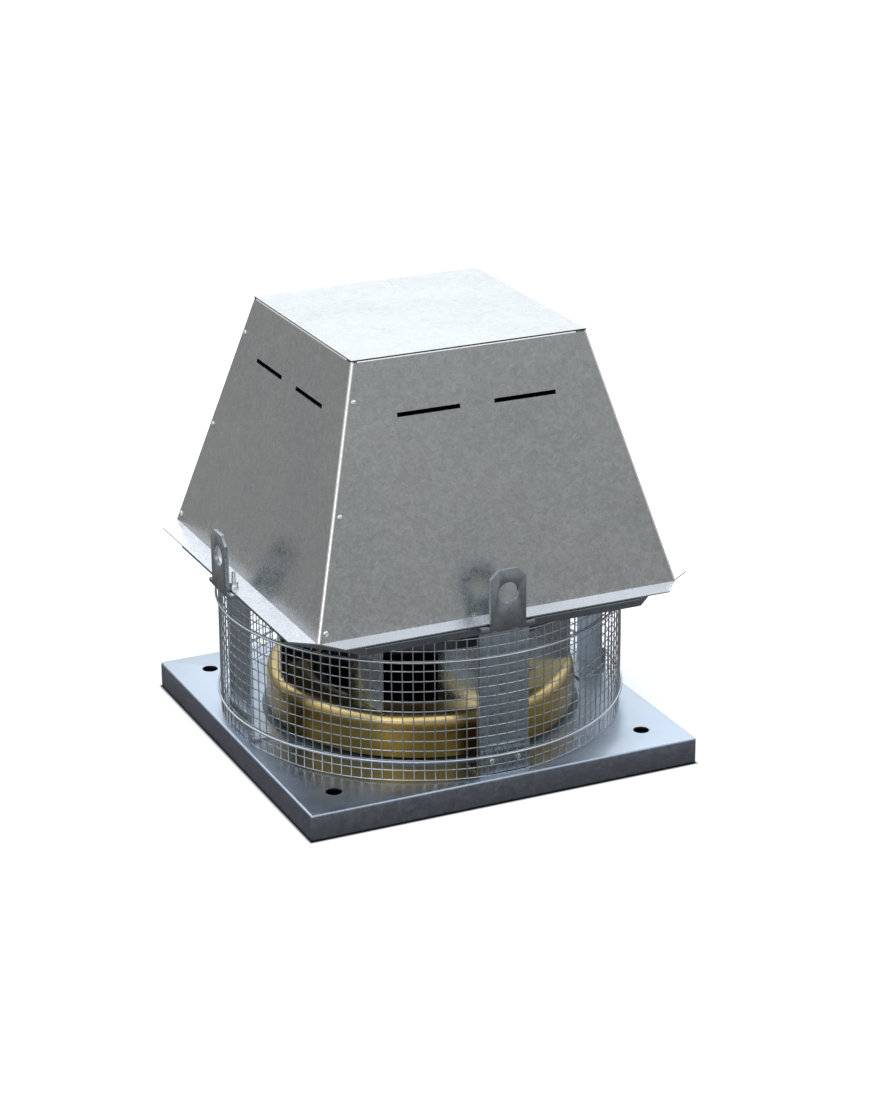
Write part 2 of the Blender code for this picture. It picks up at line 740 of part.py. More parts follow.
def main():
    make_base()
    make_inlet_cone()
    make_guard()
    make_hoop("guard_hoop_lower", HOOP_LOW_Z)
    make_hoop("guard_hoop_upper", HOOP_HIGH_Z)
    make_motor_plate()
    for side, degrees in SIDES:
        make_leg(side, degrees)
        make_foot_angle(side, degrees)
        make_lug(side, degrees)
        make_cowl_panel(side, degrees)
        make_cowl_bracket(side, degrees)
    make_lid()
    make_shroud()
    make_blades()
    make_back_plate()
    make_hub()
    make_shaft()
    make_stator()
    make_shields()
    make_cooling_fan()
    make_fan_cover()
    make_terminal_box()


main()
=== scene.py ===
"""Looks for the roof exhaust fan: wire mesh, rivets, bolts, smooth turned parts and metal materials."""

import json
import math

import bmesh
import bpy
from mathutils import Matrix, Vector


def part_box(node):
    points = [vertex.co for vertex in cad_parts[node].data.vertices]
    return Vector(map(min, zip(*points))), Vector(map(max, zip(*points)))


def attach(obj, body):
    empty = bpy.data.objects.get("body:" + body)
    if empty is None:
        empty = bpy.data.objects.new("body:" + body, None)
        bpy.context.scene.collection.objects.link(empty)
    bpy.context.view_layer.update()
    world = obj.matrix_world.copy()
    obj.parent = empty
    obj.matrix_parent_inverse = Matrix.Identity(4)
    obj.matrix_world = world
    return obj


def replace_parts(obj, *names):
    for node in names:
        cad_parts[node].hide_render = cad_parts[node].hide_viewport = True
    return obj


TAU = 2.0 * math.pi
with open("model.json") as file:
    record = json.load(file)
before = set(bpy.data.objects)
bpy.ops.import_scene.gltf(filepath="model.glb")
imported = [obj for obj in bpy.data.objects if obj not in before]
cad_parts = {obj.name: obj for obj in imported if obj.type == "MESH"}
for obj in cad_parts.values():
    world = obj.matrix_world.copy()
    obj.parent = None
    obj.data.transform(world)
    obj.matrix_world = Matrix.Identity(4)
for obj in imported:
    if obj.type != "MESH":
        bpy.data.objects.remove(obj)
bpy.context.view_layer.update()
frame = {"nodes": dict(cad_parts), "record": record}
SIDES = (("front", 0.0), ("right", 90.0), ("back", 180.0), ("left", 270.0))


# ---------------------------------------------------------------- measures taken from the frame

BASE_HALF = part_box("base_plate")[1].x
BASE_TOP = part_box("base_plate")[1].z
LUG_LOW, LUG_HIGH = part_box("lifting_lug_front")
GUARD_LOW, GUARD_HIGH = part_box("guard_mesh")
HOOP_LOW_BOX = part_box("guard_hoop_lower")
HOOP_HIGH_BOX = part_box("guard_hoop_upper")
SKIRT_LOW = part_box("impeller_skirt")[0].z


# ---------------------------------------------------------------- measures the boxes don't give, in metres

COWL_Z0, COWL_Z1 = 0.236, 0.5384
COWL_HALF0, COWL_HALF1 = 0.2330, 0.1502
COWL_SLOPE = (COWL_HALF0 - COWL_HALF1) / (COWL_Z1 - COWL_Z0)
ANCHOR_AT = 0.205
CORNER_BEND = 0.0030
FOLD_R = 0.0018
FOLD_FROM_LEFT = 0.0065
FOLD_FROM_RIGHT = 0.0135

MESH_PITCH = 0.0127
WIRE_R = 0.00072
GUARD_R = 0.249
GUARD_WIRES = 124
INLET_SHEET = 0.0015
SHROUD_SHEET = 0.0016
BACK_PLATE_LOW = 0.1780
BACK_PLATE_SHEET = 0.0025
BACK_PLATE_RIM = 0.010
BLADES = 7
BLADE_TOP = 0.1777


def cowl_half(z):
    """Half the cowl's width at height z."""
    return COWL_HALF0 - COWL_SLOPE * (z - COWL_Z0)


def turn(degrees):
    """Turns the front side onto another side."""
    return Matrix.Rotation(math.radians(degrees), 4, "Z")


# ---------------------------------------------------------------- materials


class Graph:
    """Short calls for building a node tree."""

    def __init__(self, tree):
        self.tree = tree
        tree.nodes.clear()

    def node(self, kind, **values):
        made = self.tree.nodes.new(kind)
        for key, value in values.items():
            setattr(made, key, value)
        return made

    def link(self, out, into):
        self.tree.links.new(out, into)

    def math(self, operation, a, b=0.0):
        """A Math node; a and b are numbers or sockets."""
        made = self.node("ShaderNodeMath", operation=operation)
        for index, value in enumerate((a, b)):
            if isinstance(value, (int, float)):
                made.inputs[index].default_value = value
            else:
                self.link(value, made.inputs[index])
        return made.outputs[0]

    def spread(self, value, low, high, new_low, new_high):
        """Maps low..high to new_low..new_high, clamped."""
        made = self.node("ShaderNodeMapRange", clamp=True)
        for index, number in enumerate((low, high, new_low, new_high)):
            made.inputs[index + 1].default_value = number
        self.link(value, made.inputs[0])
        return made.outputs[0]

    def noise(self, vector, scale, detail, roughness, distortion=0.0):
        made = self.node("ShaderNodeTexNoise")
        made.inputs["Scale"].default_value = scale
        made.inputs["Detail"].default_value = detail
        made.inputs["Roughness"].default_value = roughness
        made.inputs["Distortion"].default_value = distortion
        self.link(vector, made.inputs["Vector"])
        return made.outputs["Fac"]

    def cells(self, vector, scale):
        made = self.node("ShaderNodeTexVoronoi")
        made.inputs["Scale"].default_value = scale
        self.link(vector, made.inputs["Vector"])
        return made

    def mix(self, factor, a, b, blend="MIX"):
        made = self.node("ShaderNodeMix", data_type="RGBA", blend_type=blend)
        if isinstance(factor, (int, float)):
            made.inputs[0].default_value = factor
        else:
            self.link(factor, made.inputs[0])
        for index, value in ((6, a), (7, b)):
            if isinstance(value, tuple):
                made.inputs[index].default_value = (*value, 1.0)
            else:
                self.link(value, made.inputs[index])
        return made.outputs[2]

    def grey(self, value):
        made = self.node("ShaderNodeCombineColor")
        for index in range(3):
            self.link(value, made.inputs[index])
        return made.outputs[0]

    def stretch(self, vector, scale):
        made = self.node("ShaderNodeMapping")
        made.inputs["Scale"].default_value = scale
        self.link(vector, made.inputs["Vector"])
        return made.outputs[0]

    def bump(self, height, strength, distance, normal=None):
        made = self.node("ShaderNodeBump")
        made.inputs["Strength"].default_value = strength
        made.inputs["Distance"].default_value = distance
        self.link(height, made.inputs["Height"])
        if normal is not None:
            self.link(normal, made.inputs["Normal"])
        return made.outputs[0]


def start_material(name):
    """A material, its graph, its Principled shader and the piece's own coordinates."""
    material = bpy.data.materials.new(name)
    material.use_nodes = True
    graph = Graph(material.node_tree)
    out = graph.node("ShaderNodeOutputMaterial")
    shader = graph.node("ShaderNodeBsdfPrincipled")
    graph.link(shader.outputs[0], out.inputs[0])
    place = graph.node("ShaderNodeTexCoord").outputs["Object"]
    return material, graph, shader, place


def spangled(name, colour, tint, rough, contrast, waviness=0.30, flat=None):
    """Galvanised sheet: zinc crystals a few millimetres across, cloudy patches, faint rolling marks.

    Faces that face up take the colour `flat` and a calmer tone, a painted highlight that stands for the
    bright sky they reflect."""
    material, g, shader, place = start_material(name)
    warp = g.node("ShaderNodeTexNoise")
    warp.inputs["Scale"].default_value = 60.0
    g.link(place, warp.inputs["Vector"])
    bent = g.node("ShaderNodeVectorMath", operation="MULTIPLY_ADD")
    g.link(warp.outputs["Color"], bent.inputs[0])
    bent.inputs[1].default_value = (0.010, 0.010, 0.010)
    g.link(place, bent.inputs[2])
    small = g.cells(bent.outputs[0], 320.0)
    large = g.cells(bent.outputs[0], 320.0 * 0.42)
    small_tone = g.node("ShaderNodeSeparateColor")
    g.link(small.outputs["Color"], small_tone.inputs[0])
    large_tone = g.node("ShaderNodeSeparateColor")
    g.link(large.outputs["Color"], large_tone.inputs[0])
    crystals = g.math("ADD", g.math("MULTIPLY", small_tone.outputs[0], 0.6),
                      g.math("MULTIPLY", large_tone.outputs[1], 0.4))
    cloud = g.noise(place, 7.0, 4.0, 0.6)
    dust = g.noise(place, 900.0, 2.0, 0.6)
    streak = g.noise(g.stretch(place, (1.0, 1.0, 0.06)), 260.0, 2.0, 0.5)
    tone = g.math("ADD", g.math("MULTIPLY", crystals, 0.34 * contrast),
                  g.math("MULTIPLY", cloud, 0.32 * contrast))
    tone = g.math("ADD", tone, g.math("MULTIPLY", dust, 0.12 * contrast))
    tone = g.math("ADD", tone, g.math("MULTIPLY", streak, 0.10 * contrast))
    tone = g.math("ADD", tone, 1.0 - 0.44 * contrast)
    base = g.mix(g.spread(cloud, 0.35, 0.65, 0.0, 1.0), colour, tint)
    # Painted highlight: faces pointing up are made lighter and more even, standing for the sky's reflection
    # on them.
    if flat:
        upright = g.node("ShaderNodeSeparateXYZ")
        g.link(g.node("ShaderNodeTexCoord").outputs["Normal"], upright.inputs[0])
        base = g.mix(g.spread(upright.outputs[2], 0.75, 0.95, 0.0, 1.0), base, flat)
        softer = g.math("MULTIPLY", tone, g.spread(upright.outputs[2], 0.75, 0.95, 1.0, 0.4))
        even = g.spread(upright.outputs[2], 0.75, 0.95, 0.0, 0.6 * (1.0 - 0.1 * contrast))
        tone = g.math("ADD", softer, even)
    g.link(g.mix(1.0, base, g.grey(tone), "MULTIPLY"), shader.inputs["Base Color"])
    shader.inputs["Metallic"].default_value = 1.0
    gloss = g.math("ADD", g.math("MULTIPLY", crystals, 0.14), g.math("MULTIPLY", cloud, 0.16))
    g.link(g.math("ADD", gloss, rough - 0.15), shader.inputs["Roughness"])
    wave = g.bump(g.noise(place, 9.0, 2.0, 0.5), waviness, 0.004)
    fine = g.bump(g.math("ADD", crystals, dust), 0.10, 0.0004, wave)
    g.link(fine, shader.inputs["Normal"])
    return material


def bright_metal(name, colour, rough, spots=0.25):
    """Plated or turned steel with a slightly uneven polish."""
    material, g, shader, place = start_material(name)
    fine = g.noise(place, 400.0, 3.0, 0.6)
    wide = g.noise(place, 22.0, 3.0, 0.6)
    tone = g.math("ADD", g.math("MULTIPLY", fine, spots), g.math("MULTIPLY", wide, spots))
    tone = g.math("ADD", tone, 1.0 - spots)
    g.link(g.mix(1.0, colour, g.grey(tone), "MULTIPLY"), shader.inputs["Base Color"])
    shader.inputs["Metallic"].default_value = 1.0
    g.link(g.math("ADD", g.math("MULTIPLY", fine, 0.16), rough - 0.08), shader.inputs["Roughness"])
    g.link(g.bump(fine, 0.12, 0.0003), shader.inputs["Normal"])
    return material


def passivated(name):
    """Yellow zinc passivation: gold, drifting to olive and rose, with fine circular marks; painted shade
    darkens the wall and a painted highlight brightens and pales the shoulder.
    """
    material, g, shader, place = start_material(name)
    wide = g.noise(place, 11.0, 3.0, 0.6, 0.6)
    small = g.noise(place, 60.0, 3.0, 0.6)
    gold = g.mix(g.spread(wide, 0.35, 0.65, 0.0, 1.0), (0.62, 0.385, 0.07), (0.43, 0.305, 0.075))
    rose = g.mix(g.spread(small, 0.52, 0.72, 0.0, 0.5), gold, (0.50, 0.26, 0.12))
    split = g.node("ShaderNodeSeparateXYZ")
    g.link(place, split.inputs[0])
    rings = g.node("ShaderNodeCombineXYZ")
    reach = g.node("ShaderNodeVectorMath", operation="LENGTH")
    flat = g.node("ShaderNodeVectorMath", operation="MULTIPLY")
    flat.inputs[1].default_value = (1.0, 1.0, 0.0)
    g.link(place, flat.inputs[0])
    g.link(flat.outputs[0], reach.inputs[0])
    g.link(reach.outputs["Value"], rings.inputs[0])
    g.link(split.outputs[2], rings.inputs[2])
    marks = g.noise(rings.outputs[0], 1500.0, 2.0, 0.6)
    tone = g.math("ADD", g.math("MULTIPLY", marks, 0.25), 0.85)
    # Painted shade on the upright wall and a painted highlight on the shoulder, set by height.
    wall_painted_shade = g.spread(split.outputs[2], 0.046, 0.078, 0.42, 0.66)
    shoulder = g.spread(split.outputs[2], 0.078, 0.091, 0.0, 0.80)
    tone = g.math("MULTIPLY", tone, g.math("ADD", wall_painted_shade, shoulder))
    # Painted highlight: the shoulder drifts to a pale cream.
    shoulder_painted_highlight = g.mix(g.spread(split.outputs[2], 0.074, 0.090, 0.0, 0.45), rose, (0.60, 0.53, 0.34))
    g.link(g.mix(1.0, shoulder_painted_highlight, g.grey(tone), "MULTIPLY"), shader.inputs["Base Color"])
    shader.inputs["Metallic"].default_value = 1.0
    g.link(g.math("ADD", g.math("MULTIPLY", small, 0.2), 0.2), shader.inputs["Roughness"])
    g.link(g.bump(marks, 0.15, 0.0003), shader.inputs["Normal"])
    return material


def cast(name, colour, rough, metallic):
    """Cast metal or moulded plastic with a fine pebbled skin."""
    material, g, shader, place = start_material(name)
    grain = g.noise(place, 700.0, 3.0, 0.65)
    wide = g.noise(place, 18.0, 3.0, 0.6)
    tone = g.math("ADD", g.math("MULTIPLY", wide, 0.4), 0.8)
    g.link(g.mix(1.0, colour, g.grey(tone), "MULTIPLY"), shader.inputs["Base Color"])
    shader.inputs["Metallic"].default_value = metallic
    g.link(g.math("ADD", g.math("MULTIPLY", grain, 0.2), rough - 0.1), shader.inputs["Roughness"])
    g.link(g.bump(grain, 0.4, 0.0006), shader.inputs["Normal"])
    return material


def laminated(name):
    """A stack of thin varnished steel sheets."""
    material, g, shader, place = start_material(name)
    sheets = g.noise(g.stretch(place, (0.05, 0.05, 1.0)), 1400.0, 1.0, 0.5)
    tone = g.math("ADD", g.math("MULTIPLY", sheets, 0.8), 0.6)
    g.link(g.mix(1.0, (0.13, 0.12, 0.12), g.grey(tone), "MULTIPLY"), shader.inputs["Base Color"])
    shader.inputs["Metallic"].default_value = 0.8
    shader.inputs["Roughness"].default_value = 0.5
    g.link(g.bump(sheets, 0.5, 0.0004), shader.inputs["Normal"])
    return material


LOOKS = {
    "galvanised_sheet": spangled("galvanised_sheet", (0.48, 0.53, 0.57), (0.42, 0.465, 0.51), 0.28, 0.6),
    # Painted shade: a much darker copy of the galvanised sheet, for parts deep inside the guard.
    "inner_sheet": spangled("inner_sheet", (0.17, 0.185, 0.20), (0.135, 0.15, 0.165), 0.36, 0.6),
    # flat: a painted highlight, a much lighter colour on the drip flange's upward faces
    "cowl_sheet": spangled("cowl_sheet", (0.475, 0.485, 0.485), (0.415, 0.43, 0.435), 0.26, 0.5,
                           flat=(0.94, 0.93, 0.985)),
    # Painted shade: a darker copy of the galvanised sheet, for the sheet under the cowl, in its shadow.
    "dark_sheet": spangled("dark_sheet", (0.22, 0.25, 0.28), (0.18, 0.205, 0.235), 0.30, 0.6),
    # flat: a painted highlight, a lighter colour on the base's top
    "base_sheet": spangled("base_sheet", (0.39, 0.43, 0.51), (0.34, 0.375, 0.45), 0.37, 0.5, waviness=0.25,
                           flat=(0.52, 0.585, 0.675)),
    "light_sheet": spangled("light_sheet", (0.77, 0.79, 0.80), (0.72, 0.745, 0.765), 0.30, 0.22),
    # Painted light: the lid's edges are near black as a painted shadow line around the lid, and its top takes
    # a pale flat colour as a painted highlight.
    "lid_sheet": spangled("lid_sheet", (0.10, 0.105, 0.11), (0.08, 0.085, 0.09), 0.32, 0.30,
                          flat=(0.76, 0.775, 0.785)),
    "lug_steel": spangled("lug_steel", (0.395, 0.435, 0.47), (0.335, 0.37, 0.40), 0.26, 0.6),
    "leg_sheet": spangled("leg_sheet", (0.52, 0.59, 0.66), (0.46, 0.525, 0.595), 0.30, 0.5),
    "inlet_sheet": spangled("inlet_sheet", (0.30, 0.35, 0.395), (0.25, 0.30, 0.345), 0.60, 0.5),
    "guard_wire": bright_metal("guard_wire", (0.58, 0.61, 0.65), 0.32),
    "yellow_passivated_sheet": passivated("yellow_passivated_sheet"),
    "cast_aluminium": cast("cast_aluminium", (0.50, 0.51, 0.52), 0.5, 1.0),
    "turned_steel": bright_metal("turned_steel", (0.50, 0.50, 0.51), 0.28, 0.15),
    "laminations": laminated("laminations"),
    "black_plastic": cast("black_plastic", (0.03, 0.03, 0.032), 0.5, 0.0),
    # Painted highlight: a much paler zinc than the cowl, so the corner bends and top folds stand for their
    # glint.
    "fold_painted_highlight": bright_metal("fold_painted_highlight", (0.88, 0.87, 0.84), 0.30, 0.15),
    "bright_zinc": bright_metal("bright_zinc", (0.74, 0.78, 0.76), 0.26, 0.15),
}
LOOK_OF_NODE = {"cowl_lid": "lid_sheet"}
for side, _ in SIDES:
    LOOK_OF_NODE["foot_angle_" + side] = "galvanised_sheet"
    LOOK_OF_NODE["leg_" + side] = "leg_sheet"
    LOOK_OF_NODE["cowl_panel_" + side] = "cowl_sheet"


def dress_cad_nodes():
    """Every CAD node takes its look: its own where it has one, or else its slot's in the record."""
    slots = {row["node"]: row["material_slot"] for row in frame["record"]["subparts"]}
    for name, obj in frame["nodes"].items():
        look = LOOKS[LOOK_OF_NODE.get(name, slots[name])]
        obj.data.materials.clear()
        obj.data.materials.append(look)


# ---------------------------------------------------------------- making pieces


def piece(name, bm, look, body="frame", smooth=None, matrix=None):
    """A piece from a bmesh, turned by matrix, riding on a body; edges sharper than smooth stay crisp."""
    if matrix is not None:
        bmesh.ops.transform(bm, matrix=matrix, verts=bm.verts)
    bmesh.ops.recalc_face_normals(bm, faces=bm.faces)
    mesh = bpy.data.meshes.new(name)
    bm.to_mesh(mesh)
    bm.free()
    mesh.materials.append(LOOKS[look])
    obj = bpy.data.objects.new(name, mesh)
    bpy.context.scene.collection.objects.link(obj)
    if smooth is not None:
        mesh.shade_smooth()
        mesh.set_sharp_from_angle(angle=math.radians(smooth))
    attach(obj, body)
    return obj


def ring(bm, section, steps, centre=None):
    """Revolves a closed section of (radius, height) pairs about Z into the bmesh."""
    centre = centre or Matrix.Identity(4)
    loops = []
    for k in range(steps):
        a = TAU * k / steps
        places = [Vector((r * math.cos(a), r * math.sin(a), z)) for r, z in section]
        loops.append([bm.verts.new(centre @ place) for place in places])
    count = len(section)
    for k in range(steps):
        first, second = loops[k], loops[(k + 1) % steps]
        for i in range(count):
            j = (i + 1) % count
            bm.faces.new((first[i], second[i], second[j], first[j]))


def spindle(bm, section, steps, centre=None, phase=0.0):
    """Revolves an open section that starts and ends on the axis."""
    centre = centre or Matrix.Identity(4)
    low = bm.verts.new(centre @ Vector((0.0, 0.0, section[0][1])))
    high = bm.verts.new(centre @ Vector((0.0, 0.0, section[-1][1])))
    loops = []
    for r, z in section[1:-1]:
        angles = [TAU * k / steps + phase for k in range(steps)]
        loops.append([bm.verts.new(centre @ Vector((r * math.cos(a), r * math.sin(a), z))) for a in angles])
    for k in range(steps):
        j = (k + 1) % steps
        bm.faces.new((low, loops[0][j], loops[0][k]))
        bm.faces.new((high, loops[-1][k], loops[-1][j]))
        for a, b in zip(loops, loops[1:]):
            bm.faces.new((a[k], a[j], b[j], b[k]))


def rounded(points, radius):
    """Rounds the corners of a closed section whose points carry a mark: (r, z, True) is rounded."""
    steps = 4
    out = []
    count = len(points)
    for i, point in enumerate(points):
        here = Vector(point[:2])
        if len(point) < 3 or not point[2]:
            out.append(tuple(here))
            continue
        before = Vector(points[i - 1][:2])
        after = Vector(points[(i + 1) % count][:2])
        a = here + (before - here).normalized() * radius
        b = here + (after - here).normalized() * radius
        for k in range(steps + 1):
            t = k / steps
            out.append(tuple(a * (1 - t) ** 2 + here * 2 * t * (1 - t) + b * t * t))
    return out


def curve_points(points, steps):
    """A smooth Catmull-Rom line through the points."""
    out = []
    ends = [points[0]] + list(points) + [points[-1]]
    for i in range(1, len(ends) - 2):
        p0, p1, p2, p3 = (Vector(p) for p in ends[i - 1:i + 3])
        for k in range(steps):
            t = k / steps
            out.append(0.5 * ((2 * p1) + (p2 - p0) * t + (2 * p0 - 5 * p1 + 4 * p2 - p3) * t * t
                              + (3 * p1 - p0 - 3 * p2 + p3) * t ** 3))
    out.append(Vector(points[-1]))
    return out


def sheet_section(line, thickness):
    """A closed section: the line and its copy moved to its left by the sheet's thickness."""
    other = []
    for i, p in enumerate(line):
        along = line[min(i + 1, len(line) - 1)] - line[max(i - 1, 0)]
        side = Vector((-along.y, along.x)).normalized()
        other.append(p + side * thickness)
    return [tuple(p) for p in line] + [tuple(p) for p in reversed(other)]


# ---------------------------------------------------------------- guard


def wobble(angle, z):
    """Small hand-rolled unevenness of the mesh, in metres."""
    return (0.0006 * math.sin(3.0 * angle + 1.3) + 0.0005 * math.sin(7.0 * angle - 14.0 * z)
            + 0.0003 * math.sin(17.0 * angle + 30.0 * z))


def make_guard():
    """The welded mesh: upright wires outside, and hoops of the same wire welded inside them."""
    bm = bmesh.new()
    z0, z1 = GUARD_LOW.z, GUARD_HIGH.z
    rows = int(round((z1 - z0) / MESH_PITCH))
    heights = [z0 + 0.001 + (z1 - z0 - 0.002) * k / rows for k in range(rows + 1)]
    sides = 6
    for k in range(GUARD_WIRES):
        a = TAU * k / GUARD_WIRES
        stations = []
        for z in heights:
            lean = a + 0.0009 * math.sin(5.0 * a + 11.0 * z)
            r = GUARD_R + WIRE_R * 0.9 + wobble(lean, z)
            middle = Vector((r * math.cos(lean), r * math.sin(lean), z))
            loop = []
            for s in range(sides):
                b = TAU * s / sides
                out = Vector((math.cos(lean), math.sin(lean), 0.0)) * math.cos(b)
                side = Vector((-math.sin(lean), math.cos(lean), 0.0)) * math.sin(b)
                loop.append(bm.verts.new(middle + (out + side) * WIRE_R))
            stations.append(loop)
        stations_ends(bm, stations)
    for z in heights:
        loops = []
        for k in range(GUARD_WIRES * 2):
            a = TAU * k / (GUARD_WIRES * 2)
            r = GUARD_R - WIRE_R * 0.9 + wobble(a, z)
            drop = 0.0004 * math.sin(6.0 * a + 40.0 * z)
            loop = []
            for s in range(sides):
                b = TAU * s / sides
                reach = r + WIRE_R * math.cos(b)
                height = z + drop + WIRE_R * math.sin(b)
                loop.append(bm.verts.new((reach * math.cos(a), reach * math.sin(a), height)))
            loops.append(loop)
        for k, first in enumerate(loops):
            second = loops[(k + 1) % len(loops)]
            for i in range(sides):
                j = (i + 1) % sides
                bm.faces.new((first[i], second[i], second[j], first[j]))
    mesh = piece("guard_wire_mesh", bm, "guard_wire", smooth=60)
    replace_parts(mesh, "guard_mesh")


def stations_ends(bm, stations):
    """Skins a bar through its stations and closes both ends."""
    for first, second in zip(stations, stations[1:]):
        count = len(first)
        for i in range(count):
            j = (i + 1) % count
            bm.faces.new((first[i], first[j], second[j], second[i]))
    bm.faces.new(list(reversed(stations[0])))
    bm.faces.new(stations[-1])


def make_hoops():
    """The two heavier hoops that stiffen the mesh."""
    for name, box in (("guard_hoop_lower", HOOP_LOW_BOX), ("guard_hoop_upper", HOOP_HIGH_BOX)):
        z = (box[0].z + box[1].z) / 2.0
        bar = 0.00155
        r = box[1].x - bar - 0.0003
        section = [(r + bar * math.cos(TAU * k / 10), z + bar * math.sin(TAU * k / 10)) for k in range(10)]
        bm = bmesh.new()
        ring(bm, section, 160)
        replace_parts(piece(name + "_bar", bm, "guard_wire", smooth=60), name)


# ---------------------------------------------------------------- turned sheet metal


def make_inlet_cone():
    """The flange on the base and the cone that narrows upward into the shroud's eye, one spun sheet."""
    z = BASE_TOP + 0.0003
    line = [Vector((0.199, z + INLET_SHEET)), Vector((0.170, z + INLET_SHEET))]
    bend = [(0.1600, z + 0.0016), (0.1520, z + 0.0030), (0.1430, z + 0.0095), (0.1340, z + 0.0215),
            (0.1280, z + 0.0345), (0.1250, z + 0.0440), (0.1250, z + 0.0477)]
    line += curve_points(bend, 6)
    bm = bmesh.new()
    ring(bm, sheet_section(line, INLET_SHEET), 128)
    cone = piece("inlet_cone_spun", bm, "inlet_sheet", smooth=35)
    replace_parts(cone, "inlet_cone", "inlet_flange")


def shroud_line():
    """The outer line of the shroud, from the skirt's lower edge over the shoulder into the eye."""
    line = [Vector((0.1925, SKIRT_LOW)), Vector((0.1925, 0.066))]
    shoulder = [(0.1925, 0.076), (0.1916, 0.0845), (0.1880, 0.0915), (0.1815, 0.0955), (0.174, 0.0960)]
    eye = [(0.165, 0.0960), (0.157, 0.0958), (0.149, 0.0940), (0.141, 0.0895), (0.1350, 0.0830),
           (0.1325, 0.0780), (0.1322, 0.0740)]
    line += curve_points(shoulder, 6)
    line += curve_points(eye, 6)
    return line


def make_impeller():
    """The spun shroud with its skirt, the back plate with its turned-up rim, and the blades."""
    bm = bmesh.new()
    ring(bm, sheet_section(shroud_line(), SHROUD_SHEET), 144)
    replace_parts(piece("impeller_shroud_spun", bm, "yellow_passivated_sheet", "rotor", smooth=35),
                "impeller_shroud", "impeller_skirt")
    low = BACK_PLATE_LOW
    floor = BACK_PLATE_LOW + BACK_PLATE_SHEET
    rim = BACK_PLATE_LOW + BACK_PLATE_RIM
    section = rounded([(0.0262, low), (0.190, low, True), (0.190, rim), (0.1882, rim),
                       (0.1882, floor, True), (0.0262, floor)], 0.002)
    bm = bmesh.new()
    ring(bm, section, 144)
    plate = piece("impeller_back_plate_spun", bm, "inner_sheet", "rotor", smooth=35)
    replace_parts(plate, "impeller_back_plate")
    for index in range(BLADES):
        make_blade(index)


def blade_floor(r):
    """The height of the shroud's top at radius r, just under the blades."""
    share = min(1.0, max(0.0, (0.158 - r) / 0.026))
    return 0.096 - 0.014 * share * share + 0.0004


def make_blade(index):
    """One backward-curved blade, a thin sheet rolled to an arc, from the shroud to the back plate."""
    count = 24
    half = 0.0009
    bow = 0.036
    inner_r, outer_r = 0.131, 0.1875
    end = math.radians(232.0) + TAU * index / BLADES
    start = end - math.radians(28.0)
    a = Vector((inner_r * math.cos(start), inner_r * math.sin(start)))
    b = Vector((outer_r * math.cos(end), outer_r * math.sin(end)))
    chord = b - a
    out = Vector((chord.y, -chord.x)).normalized()
    if out.dot(a + b) < 0.0:
        out = -out
    shares = [k / count for k in range(count + 1)]
    points = [a + chord * t + out * bow * t * (1.0 - t) for t in shares]
    bm = bmesh.new()
    stations = []
    for k, p in enumerate(points):
        along = points[min(k + 1, count)] - points[max(k - 1, 0)]
        across = Vector((along.y, -along.x)).normalized() * half
        outer, inner = p + across, p - across
        low = max(blade_floor(outer.length), blade_floor(inner.length))
        corners = ((outer, low), (outer, BLADE_TOP), (inner, BLADE_TOP), (inner, low))
        stations.append([bm.verts.new((at.x, at.y, z)) for at, z in corners])
    stations_ends(bm, stations)
    name = "impeller_blade_%d" % (index + 1)
    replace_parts(piece(name + "_rolled", bm, "galvanised_sheet", "rotor", smooth=30), name)


# ---------------------------------------------------------------- sheet parts with fine edges


def outline_prism(bm, outline, y0, y1):
    """A flat plate from y0 to y1 with an outline of (x, z) points."""
    face = bm.faces.new([bm.verts.new((x, y0, z)) for x, z in outline])
    made = bmesh.ops.extrude_face_region(bm, geom=[face])
    moved = [item for item in made["geom"] if isinstance(item, bmesh.types.BMVert)]
    bmesh.ops.translate(bm, verts=moved, vec=(0.0, y1 - y0, 0.0))
    bmesh.ops.recalc_face_normals(bm, faces=bm.faces)


def helper(name, bm):
    """An object that a Boolean step uses up."""
    bmesh.ops.recalc_face_normals(bm, faces=bm.faces)
    mesh = bpy.data.meshes.new(name)
    bm.to_mesh(mesh)
    bm.free()
    obj = bpy.data.objects.new(name, mesh)
    bpy.context.scene.collection.objects.link(obj)
    return obj


def shape(base, steps, bevel):
    """Applies Boolean steps and a bevel to a helper object and returns the result as a bmesh."""
    for operation, other in steps:
        made = base.modifiers.new("step", "BOOLEAN")
        made.operation = operation
        made.solver = "EXACT"
        made.object = other
    if bevel:
        made = base.modifiers.new("edges", "BEVEL")
        made.width = bevel
        made.segments = 2
        made.limit_method = "ANGLE"
        made.angle_limit = math.radians(30.0)
        made.harden_normals = False
    bpy.context.view_layer.update()
    depsgraph = bpy.context.evaluated_depsgraph_get()
    mesh = bpy.data.meshes.new_from_object(base.evaluated_get(depsgraph))
    bm = bmesh.new()
    bm.from_mesh(mesh)
    bpy.data.meshes.remove(mesh)
    for obj in [base] + [other for _, other in steps]:
        bpy.data.objects.remove(obj, do_unlink=True)
    return bm


def cube(bm, low, high):
    low, high = Vector(low), Vector(high)
    stretch = Matrix.Diagonal((*(high - low), 1.0))
    bmesh.ops.create_cube(bm, size=1.0, matrix=Matrix.Translation((low + high) / 2.0) @ stretch)


def box_helper(name, low, high):
    bm = bmesh.new()
    cube(bm, low, high)
    return helper(name, bm)


def rod_helper(name, radius, start, end, steps=64):
    start, end = Vector(start), Vector(end)
    axis = end - start
    aim = Matrix.Translation((start + end) / 2.0) @ axis.to_track_quat("Z", "Y").to_matrix().to_4x4()
    bm = bmesh.new()
    bmesh.ops.create_cone(bm, cap_ends=True, segments=steps, radius1=radius, radius2=radius,
                          depth=axis.length, matrix=aim)
    return helper(name, bm)


